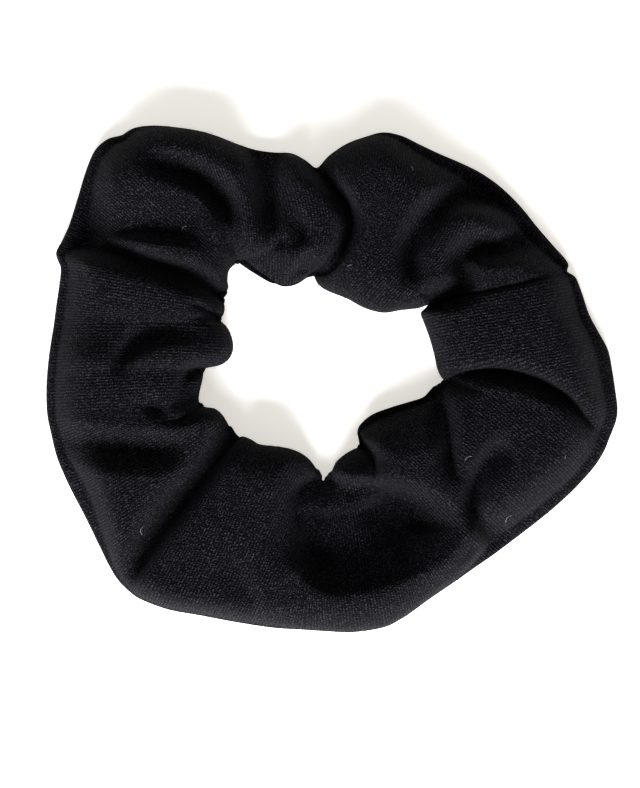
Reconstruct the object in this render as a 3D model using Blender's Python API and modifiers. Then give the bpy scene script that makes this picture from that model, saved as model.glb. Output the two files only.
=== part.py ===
"""Scrunchie: a tube of cotton jersey gathered on a loop of flat elastic, lying flat. Metres, +Z up.

The sleeve is split where its ends are sewn together and at the tuck opposite, so that its two halves can
be pulled apart along Y as the elastic stretches. Sizes below are in millimetres.
"""

import math

import bmesh
import bpy
from mathutils import Vector

MM = 0.001
GAP = 0.3  # clearance between pieces that touch

WALL = 0.8  # jersey, as a solid wall
STEPS_PER_RIB = 2  # sections lofted for each rib
LEFT_TUCK_RIB = 13  # where the sleeve divides, opposite the closing seam at rib 0

ELASTIC_WIDTH = 6.0
ELASTIC_THICKNESS = 1.0
ELASTIC_LOWEST = 2.6
ELASTIC_OVERLAP = 12.0
ELASTIC_STEP = 2.2

THREAD_DIAMETER = 0.25
STITCH_LENGTH = 3.4
STITCH_RISE = 0.25
SIDE_SEAM_INSET = 3.2  # the stitch line's distance from the outer edge
NEEDLE_THREAD_HEIGHT = 3.0
BOBBIN_THREAD_HEIGHT = 1.8
CLOSING_SEAM_MARGIN = 4.0  # the side seam's threads stop this far from the closing seam
CLOSING_SEAM_SETBACK = 1.5  # the closing seam's stitches lie this far from the seam line
CLOSING_NEEDLE_DEPTH = 1.35  # depth of the thread's middle under the sleeve's outer surface
CLOSING_BOBBIN_DEPTH = 2.0
ZIGZAG_WIDTH = 4.0
ZIGZAG_POINTS = 9

# Moves the outline so that the middle of its box is the origin.
CENTRE = Vector((0.85, -0.1))

# The sleeve's ribs, anticlockwise from the closing seam: the point on the outer edge, the point on the
# inner edge, and the height of the crown between them.
RIBS = [
    ((52.5, 23.3), (23.2, 16.5), 14.5),
    ((46.2, 33.0), (21.0, 17.0), 15.5),
    ((38.4, 42.0), (17.0, 16.2), 16.0),
    ((28.0, 47.8), (13.5, 15.8), 15.5),
    ((18.0, 52.4), (9.5, 16.4), 16.0),
    ((8.0, 53.2), (5.0, 18.2), 16.0),
    ((-2.5, 47.6), (-2.0, 21.5), 13.5),
    ((-12.0, 49.8), (-8.0, 21.8), 15.5),
    ((-22.0, 52.4), (-14.0, 24.0), 15.0),
    ((-33.0, 55.2), (-19.0, 25.2), 15.0),
    ((-44.0, 54.2), (-20.5, 24.2), 15.5),
    ((-51.0, 50.0), (-21.3, 22.5), 15.0),
    ((-55.0, 40.0), (-21.9, 20.5), 14.5),
    ((-58.4, 30.0), (-23.0, 18.0), 13.5),
    ((-59.2, 22.0), (-23.0, 15.0), 15.5),
    ((-60.2, 12.0), (-22.0, 11.0), 16.0),
    ((-61.4, 4.0), (-22.0, 6.0), 16.0),
    ((-61.8, -3.0), (-25.5, 1.0), 15.0),
    ((-61.2, -9.0), (-27.0, -4.5), 14.5),
    ((-59.7, -17.0), (-24.5, -8.0), 14.5),
    ((-55.5, -26.0), (-22.0, -11.5), 16.0),
    ((-50.5, -36.5), (-19.0, -14.0), 15.0),
    ((-44.5, -46.0), (-14.5, -15.2), 14.5),
    ((-35.0, -50.2), (-10.0, -16.0), 16.0),
    ((-24.0, -52.2), (-6.5, -17.5), 16.0),
    ((-12.0, -54.2), (-3.5, -20.0), 15.5),
    ((0.0, -55.5), (0.0, -20.0), 14.5),
    ((10.0, -55.4), (4.0, -17.5), 14.5),
    ((20.0, -50.5), (8.0, -14.0), 15.0),
    ((31.0, -43.0), (11.5, -9.8), 16.0),
    ((41.0, -35.0), (15.0, -7.4), 15.0),
    ((50.0, -28.0), (19.0, -5.6), 15.5),
    ((58.0, -20.0), (22.0, -3.6), 15.5),
    ((62.2, -12.0), (23.6, -1.2), 14.5),
    ((63.4, -6.0), (24.0, 1.5), 14.0),
    ((62.2, 2.0), (23.5, 5.0), 15.5),
    ((58.0, 12.5), (22.6, 9.5), 16.0),
    ((55.0, 20.0), (22.8, 13.5), 15.5),
]

# A section across the tube, from the inner edge over the crown to the outer edge and back underneath:
# shares of the distance between the edges, and of the crown's height.
SECTION = [
    (0.0, 0.42),
    (0.03, 0.62),
    (0.1, 0.82),
    (0.22, 0.96),
    (0.38, 1.0),
    (0.54, 0.97),
    (0.7, 0.85),
    (0.83, 0.66),
    (0.92, 0.46),
    (0.975, 0.3),
    (1.0, 0.17),
    (0.985, 0.05),
    (0.94, 0.0),
    (0.75, 0.0),
    (0.5, 0.0),
    (0.28, 0.0),
    (0.12, 0.0),
    (0.045, 0.08),
    (0.01, 0.22),
]

# The loop that the elastic follows inside the tube.
ELASTIC_LOOP = [
    (-11.0, -23.0),
    (-3.0, -25.3),
    (4.5, -24.3),
    (11.5, -19.8),
    (18.0, -14.5),
    (24.5, -9.8),
    (28.8, -4.4),
    (30.0, 2.5),
    (29.8, 10.0),
    (28.8, 17.2),
    (22.6, 22.4),
    (14.0, 23.2),
    (6.0, 24.6),
    (-1.0, 27.4),
    (-8.0, 28.6),
    (-15.0, 30.4),
    (-21.5, 30.6),
    (-26.6, 27.2),
    (-29.2, 21.0),
    (-29.6, 13.0),
    (-30.6, 5.0),
    (-32.6, -2.5),
    (-31.0, -10.0),
    (-26.0, -16.0),
    (-19.5, -20.3),
]

JERSEY_COLOUR = (0.008, 0.008, 0.012, 1.0)
ELASTIC_COLOUR = (0.01, 0.01, 0.01, 1.0)
THREAD_COLOUR = (0.006, 0.006, 0.008, 1.0)


def clear_scene():
    for obj in list(bpy.data.objects):
        bpy.data.objects.remove(obj)


def material(name, colour, roughness):
    made = bpy.data.materials.new(name)
    made.use_nodes = True
    shader = made.node_tree.nodes["Principled BSDF"]
    shader.inputs["Base Color"].default_value = colour
    shader.inputs["Roughness"].default_value = roughness
    shader.inputs["Metallic"].default_value = 0.0
    return made


def add_object(name, data, finish, collection):
    obj = bpy.data.objects.new(name, data)
    data.materials.append(finish)
    collection.objects.link(obj)
    return obj


def catmull_rom(values, at):
    """The smooth closed curve through the values, read at a place counted in values from the first."""
    count = len(values)
    start = math.floor(at)
    t = at - start
    before, here, there, after = (values[(start + k) % count] for k in (-1, 0, 1, 2))
    return 0.5 * (
        2 * here
        + (there - before) * t
        + (2 * before - 5 * here + 4 * there - after) * t**2
        + (3 * here - before - 3 * there + after) * t**3
    )


OUTER_EDGE = [Vector(outer) - CENTRE for outer, _, _ in RIBS]
INNER_EDGE = [Vector(inner) - CENTRE for _, inner, _ in RIBS]
CROWNS = [crown for _, _, crown in RIBS]
ELASTIC_LINE = [Vector(point) - CENTRE for point in ELASTIC_LOOP]


def rib_at(at):
    """The outer point, inner point and crown height at a place counted in ribs."""
    return catmull_rom(OUTER_EDGE, at), catmull_rom(INNER_EDGE, at), catmull_rom(CROWNS, at)


def section_points(at):
    """The section at a place counted in ribs, as points in metres."""
    outer, inner, crown = rib_at(at)
    return [
        Vector((*inner.lerp(outer, across), crown * height)) * MM
        for across, height in SECTION
    ]


def ribs_for(length, at):
    """How many ribs a length along the outer edge spans, near a place counted in ribs."""
    step = 0.01
    return length * step / (catmull_rom(OUTER_EDGE, at + step) - catmull_rom(OUTER_EDGE, at)).length


def sleeve_half(name, first, last, finish, collection):
    """The tube's wall from one place to another, open at both ends."""
    start = first + ribs_for(GAP / 2, first)
    end = last - ribs_for(GAP / 2, last)
    count = (last - first) * STEPS_PER_RIB
    mesh = bpy.data.meshes.new(name)
    shell = bmesh.new()
    rings = [
        [shell.verts.new(point) for point in section_points(start + (end - start) * i / count)]
        for i in range(count + 1)
    ]
    for ring, following in zip(rings, rings[1:]):
        for k in range(len(SECTION)):
            after = (k + 1) % len(SECTION)
            shell.faces.new((ring[k], ring[after], following[after], following[k]))
    bmesh.ops.recalc_face_normals(shell, faces=shell.faces)
    shell.to_mesh(mesh)
    shell.free()
    mesh.shade_smooth()
    obj = add_object(name, mesh, finish, collection)
    wall = obj.modifiers.new("wall", "SOLIDIFY")
    wall.thickness = WALL * MM
    wall.offset = -1
    return obj


def loop_points(line, step):
    """The closed line's points, about a step apart, with their distances along it."""
    per_point = 12
    fine = [catmull_rom(line, i / per_point) for i in range(len(line) * per_point + 1)]
    along = [0.0]
    for a, b in zip(fine, fine[1:]):
        along.append(along[-1] + (b - a).length)
    count = round(along[-1] / step)
    points = []
    i = 0
    for k in range(count):
        wanted = along[-1] * k / count
        while along[i + 1] < wanted:
            i += 1
        points.append(fine[i].lerp(fine[i + 1], (wanted - along[i]) / (along[i + 1] - along[i])))
    return points, along[-1]


def outward(points, i):
    """The direction away from the loop's middle at its point i, on a loop that runs anticlockwise."""
    along = points[(i + 1) % len(points)] - points[i - 1]
    return Vector((along.y, -along.x)).normalized()


def smoothstep(t):
    t = max(0.0, min(1.0, t))
    return t * t * (3 - 2 * t)


def elastic_path():
    """The open strip's middle line: once round, then on along the outside of its own beginning."""
    points, length = loop_points(ELASTIC_LINE, ELASTIC_STEP)
    step = length / len(points)
    extra = round(ELASTIC_OVERLAP / step)
    ply_pitch = ELASTIC_THICKNESS + GAP
    path = []
    for i in range(len(points) + extra + 1):
        lift = ply_pitch * smoothstep((i - len(points) + 2 * extra) / extra / 1.6)
        k = i % len(points)
        path.append(points[k] + outward(points, k) * lift)
    return path, points, extra


def elastic_band(finish, collection):
    path, _, _ = elastic_path()
    mesh = bpy.data.meshes.new("elastic_band")
    strip = bmesh.new()
    low = [strip.verts.new(Vector((*p, ELASTIC_LOWEST)) * MM) for p in path]
    edges = [strip.edges.new(pair) for pair in zip(low, low[1:])]
    raised = bmesh.ops.extrude_edge_only(strip, edges=edges)["geom"]
    tops = [part for part in raised if isinstance(part, bmesh.types.BMVert)]
    bmesh.ops.translate(strip, verts=tops, vec=Vector((0, 0, ELASTIC_WIDTH * MM)))
    bmesh.ops.recalc_face_normals(strip, faces=strip.faces)
    strip.to_mesh(mesh)
    strip.free()
    obj = add_object("elastic_band", mesh, finish, collection)
    ply = obj.modifiers.new("ply", "SOLIDIFY")
    ply.thickness = ELASTIC_THICKNESS * MM
    ply.offset = 0
    return obj


def thread(name, points, finish, collection):
    """A sewing thread along points given in millimetres."""
    curve = bpy.data.curves.new(name, "CURVE")
    curve.dimensions = "3D"
    curve.bevel_depth = THREAD_DIAMETER / 2 * MM
    curve.bevel_resolution = 0
    curve.use_fill_caps = True
    spline = curve.splines.new("POLY")
    spline.points.add(len(points) - 1)
    for spot, point in zip(spline.points, points):
        spot.co = (*(Vector(point) * MM), 1.0)
    return add_object(name, curve, finish, collection)


def side_seam_thread(name, height, rise, finish, collection):
    """One thread of the long seam: it rises and dips once a stitch, from the closing seam round to it."""
    line = [
        outer + (inner - outer).normalized() * SIDE_SEAM_INSET
        for outer, inner in zip(OUTER_EDGE, INNER_EDGE)
    ]
    points, length = loop_points(line, STITCH_LENGTH / 2)
    margin = math.ceil(CLOSING_SEAM_MARGIN * len(points) / length)
    stitched = points[margin:-margin]
    waves = [
        (*point, height + (rise if i % 2 else -rise)) for i, point in enumerate(stitched)
    ]
    return thread(name, waves, finish, collection)


def closing_seam_thread(name, depth, finish, collection):
    """One thread of the seam that joins the ends: it follows the section at a depth under its surface."""
    at = len(RIBS) - ribs_for(CLOSING_SEAM_SETBACK, len(RIBS) - 1)
    section = section_points(at)
    middle = sum(section, Vector()) / len(section)
    axis = (section[10] - section[0]).normalized().cross(Vector((0, 0, 1)))
    points = []
    for k in range(1, len(section)):
        along = section[(k + 1) % len(section)] - section[k - 1]
        inward = along.cross(axis).normalized()
        if inward.dot(middle - section[k]) < 0:
            inward.negate()
        points.append(section[k] / MM + inward * depth)
    return thread(name, points, finish, collection)


def elastic_join_thread(name, side, finish, collection):
    """One thread of the zigzag across the elastic's overlapped ends, on its outer or inner face."""
    _, points, extra = elastic_path()
    clearance = GAP + THREAD_DIAMETER / 2
    if side == "outer":
        offset = ELASTIC_THICKNESS * 1.5 + GAP + clearance
    else:
        offset = -ELASTIC_THICKNESS / 2 - clearance
    middle = ELASTIC_LOWEST + ELASTIC_WIDTH / 2
    spots = []
    for i in range(ZIGZAG_POINTS):
        at = 0.5 + (extra - 1) * i / (ZIGZAG_POINTS - 1)
        k = math.floor(at)
        place = points[k].lerp(points[k + 1], at - k) + outward(points, k) * offset
        spots.append((*place, middle + ZIGZAG_WIDTH / 2 * (1 if i % 2 else -1)))
    return thread(name, spots, finish, collection)


def main():
    clear_scene()
    scrunchie = bpy.data.collections.new("scrunchie")
    bpy.context.scene.collection.children.link(scrunchie)
    jersey = material("jersey", JERSEY_COLOUR, 0.9)
    elastic = material("elastic", ELASTIC_COLOUR, 0.7)
    cotton = material("thread", THREAD_COLOUR, 0.7)
    sleeve_half("sleeve_back", 0, LEFT_TUCK_RIB, jersey, scrunchie)
    sleeve_half("sleeve_front", LEFT_TUCK_RIB, len(RIBS), jersey, scrunchie)
    elastic_band(elastic, scrunchie)
    side_seam_thread("side_seam_needle_thread", NEEDLE_THREAD_HEIGHT, STITCH_RISE, cotton, scrunchie)
    side_seam_thread("side_seam_bobbin_thread", BOBBIN_THREAD_HEIGHT, -STITCH_RISE, cotton, scrunchie)
    closing_seam_thread("closing_seam_needle_thread", CLOSING_NEEDLE_DEPTH, cotton, scrunchie)
    closing_seam_thread("closing_seam_bobbin_thread", CLOSING_BOBBIN_DEPTH, cotton, scrunchie)
    elastic_join_thread("elastic_join_needle_thread", "outer", cotton, scrunchie)
    elastic_join_thread("elastic_join_bobbin_thread", "inner", cotton, scrunchie)


main()
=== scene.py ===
"""Scrunchie in black cotton jersey: the gathered sleeve, the elastic and the sewing threads inside it."""

import functools
import math

import bpy
import numpy as np
from bpy.props import FloatProperty, PointerProperty, StringProperty
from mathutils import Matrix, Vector, noise


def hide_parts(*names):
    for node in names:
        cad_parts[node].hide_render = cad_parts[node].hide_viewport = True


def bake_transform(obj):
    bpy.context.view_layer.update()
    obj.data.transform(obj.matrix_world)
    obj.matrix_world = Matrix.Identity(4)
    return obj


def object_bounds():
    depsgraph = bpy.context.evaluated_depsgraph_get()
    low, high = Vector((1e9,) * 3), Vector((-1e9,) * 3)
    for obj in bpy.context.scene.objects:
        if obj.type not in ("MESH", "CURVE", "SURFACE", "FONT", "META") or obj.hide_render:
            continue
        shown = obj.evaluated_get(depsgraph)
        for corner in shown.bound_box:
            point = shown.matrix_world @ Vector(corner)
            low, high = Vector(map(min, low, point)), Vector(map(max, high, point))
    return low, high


bl_info = {
    "name": "Jersey scrunchie",
    "version": (1, 0, 0),
    "blender": (4, 5, 0),
    "location": "3D View > Sidebar > Scrunchie",
    "description": "Builds a gathered jersey scrunchie around its elastic",
    "category": "Object",
}

MM = 0.001
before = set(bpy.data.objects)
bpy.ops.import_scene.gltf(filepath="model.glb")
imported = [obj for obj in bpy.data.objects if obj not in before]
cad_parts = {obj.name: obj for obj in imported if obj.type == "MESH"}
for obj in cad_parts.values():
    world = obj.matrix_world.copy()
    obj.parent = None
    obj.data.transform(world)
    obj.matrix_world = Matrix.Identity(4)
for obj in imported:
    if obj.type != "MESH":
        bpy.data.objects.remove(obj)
CAD_LOW, CAD_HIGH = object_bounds()

# The camera looks straight down on this place, in metres, and takes in this height of the floor.
VIEW_CENTRE = (-0.0026, -0.0034)
VIEW_HEIGHT = 0.1734
# The floor and the key light, in metres.
FLOOR_HALF, FLOOR_GAP = 3.0, 0.0002
KEY_PLACE, KEY_SIZE = (-0.06, -0.64, 0.40), (0.6, 0.4)

# Middle of the ring's box, which is the frame's origin, in the outline's own millimetres.
CENTRE = np.array([0.85, -0.1])

# The sleeve between one gather on the elastic and the next, anticlockwise from the closing seam.
# inner: the edge round the hair opening, from notch to notch, in mm.
# outer: the edge opposite, in mm, with the width of the pressed seam band that shows there.
# crown: how high the puff stands, in mm. lip: the height of its innermost point. rounding: how far from the
# outer edge it reaches its crown, where that isn't OUTER_ROUNDING.
# bow: how far the line across the tube at the first notch bends towards the puff, in mm, and how fast
# that fades in the puff before and in this one.
PUFFS = [
    {
        "inner": [(22.8, 17.4), (21.4, 16.4), (20.0, 15.3), (18.0, 15.0), (15.5, 14.7), (12.0, 14.2),
                  (8.0, 15.2), (4.0, 17.3), (0.0, 18.9), (-2.0, 20.2), (-2.9, 21.6)],
        "outer": [(52.5, 23.3, 1.0), (52.8, 24.8, 2.0), (52.0, 26.2, 3.0), (50.0, 28.4, 3.4),
                  (46.0, 33.0, 3.6), (42.0, 37.9, 3.8), (38.0, 41.8, 3.8), (34.0, 44.7, 3.8),
                  (30.0, 46.8, 3.6), (24.0, 49.4, 3.0), (20.0, 51.3, 2.6), (16.0, 53.2, 2.0),
                  (12.0, 53.9, 1.0), (8.0, 52.9, 0.5), (4.0, 51.4, 0.5), (0.0, 48.7, 0.5)],
        "crown": 16.0,
        "lip": 5.0,
        "bow": (-0.8, 1.5, 1.5),
    },
    {
        "inner": [(-3.3, 23.0), (-4.2, 22.2), (-7.0, 20.4), (-10.0, 20.0), (-13.0, 21.5), (-17.0, 24.0)],
        "outer": [(-2.5, 46.1, 0.5), (-5.0, 47.8, 0.5), (-8.0, 49.3, 0.5), (-12.0, 49.5, 0.5),
                  (-16.0, 50.1, 0.5), (-20.0, 51.4, 0.5), (-24.0, 53.0, 0.5), (-28.0, 54.2, 0.5)],
        "crown": 15.0,
        "lip": 3.8,
        "bow": (-7.0, 1.5, 3.0),
    },
    {
        "inner": [(-19.3, 25.6), (-20.3, 24.8), (-21.6, 23.4), (-21.9, 21.2), (-21.8, 19.5)],
        "outer": [(-33.0, 55.0, 0.5), (-38.0, 55.4, 0.8), (-42.0, 55.0, 1.2), (-44.0, 54.1, 1.6),
                  (-45.2, 53.3, 2.0), (-48.0, 52.6, 2.6), (-50.0, 51.2, 3.0), (-51.2, 49.8, 3.0),
                  (-52.2, 47.8, 3.0), (-53.6, 43.9, 3.2), (-54.8, 39.8, 3.6), (-56.6, 34.0, 3.8),
                  (-57.6, 31.6, 3.4)],
        "crown": 15.0,
        "lip": 5.0,
    },
    {
        "inner": [(-23.3, 17.6), (-22.7, 16.4), (-22.5, 15.0), (-22.9, 13.7)],
        "outer": [(-58.6, 29.6, 2.6), (-59.4, 28.3, 2.4), (-59.7, 27.1, 2.6), (-59.2, 25.6, 2.6),
                  (-58.6, 24.0, 2.4), (-59.0, 20.0, 2.4), (-59.6, 16.0, 2.4)],
        "crown": 15.5,
        "lip": 5.0,
    },
    {
        "inner": [(-23.8, 12.8), (-22.2, 11.4), (-21.1, 9.4), (-20.6, 7.0), (-21.0, 5.0), (-22.2, 3.4),
                  (-24.2, 2.5)],
        "outer": [(-60.1, 12.0, 2.4), (-60.6, 9.0, 2.4), (-61.2, 5.0, 2.4)],
        "crown": 16.0,
        "lip": 5.5,
    },
    {
        "inner": [(-27.2, 2.2), (-27.3, 0.0), (-27.9, -2.6), (-28.2, -4.4)],
        "outer": [(-61.6, 1.0, 2.4), (-61.8, -3.0, 2.4)],
        "crown": 14.5,
        "lip": 4.5,
    },
    {
        "inner": [(-28.0, -5.8), (-26.6, -6.35), (-24.6, -6.7), (-22.9, -8.2), (-21.5, -10.6),
                  (-20.5, -12.4)],
        "outer": [(-61.6, -8.0, 2.4), (-60.8, -12.0, 2.4), (-59.6, -17.0, 2.6), (-58.0, -21.0, 3.4),
                  (-56.0, -25.2, 3.8), (-54.0, -29.0, 3.4), (-52.0, -33.0, 2.6), (-49.8, -37.6, 2.0),
                  (-47.9, -41.4, 1.4)],
        "crown": 15.5,
        "lip": 5.0,
        "rounding": 7.5,
    },
    {
        "inner": [(-19.7, -13.2), (-18.4, -13.0), (-16.6, -13.5), (-15.0, -14.4), (-12.0, -14.8),
                  (-9.6, -15.1), (-6.8, -15.9), (-4.4, -17.4), (-2.8, -19.4), (-1.9, -21.2)],
        "outer": [(-46.0, -44.4, 1.0), (-43.6, -46.8, 0.8), (-41.0, -48.6, 0.8), (-35.0, -50.8, 0.8),
                  (-28.0, -52.1, 0.8), (-20.0, -53.6, 0.8), (-12.0, -54.8, 0.8)],
        "crown": 16.0,
        "lip": 5.0,
        "rounding": 5.5,
    },
    {
        "inner": [(-1.2, -22.5), (0.2, -21.6), (0.9, -20.0), (1.7, -18.4), (3.0, -17.1), (5.0, -15.8)],
        "outer": [(-6.0, -55.2, 0.5), (0.0, -55.6, 0.5), (5.0, -55.8, 0.5), (10.0, -55.2, 0.5),
                  (13.2, -54.4, 0.5), (16.0, -52.9, 0.5), (18.6, -51.2, 0.5)],
        "crown": 15.0,
        "lip": 5.0,
    },
    {
        "inner": [(7.4, -14.8), (7.1, -13.0), (6.8, -11.4), (8.0, -9.8), (10.2, -8.2), (14.0, -6.8),
                  (18.0, -5.6), (21.0, -4.6), (22.6, -3.0), (24.0, -1.5)],
        "outer": [(22.0, -48.7, 0.5), (28.0, -44.6, 0.6), (31.5, -42.1, 1.2), (36.0, -39.0, 2.6),
                  (40.0, -36.0, 3.0), (46.0, -31.4, 3.0), (50.0, -28.1, 3.0), (54.0, -24.4, 3.0),
                  (58.0, -20.0, 3.0), (60.4, -16.4, 3.0)],
        "crown": 16.0,
        "lip": 5.0,
    },
    {
        "inner": [(25.6, -0.6), (24.4, 0.8), (23.7, 2.4), (23.1, 5.2), (22.0, 9.0), (20.9, 12.0),
                  (20.2, 14.2), (21.4, 15.4)],
        "outer": [(61.9, -12.8, 3.0), (63.2, -9.4, 3.0), (63.5, -6.5, 3.2), (63.0, -2.6, 3.4),
                  (62.3, 2.0, 3.6), (61.4, 6.2, 3.6), (59.3, 10.2, 3.2), (57.2, 14.2, 2.8),
                  (55.6, 19.0, 2.4), (54.2, 22.3, 2.0)],
        "crown": 16.0,
        "lip": 5.0,
    },
]

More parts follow.
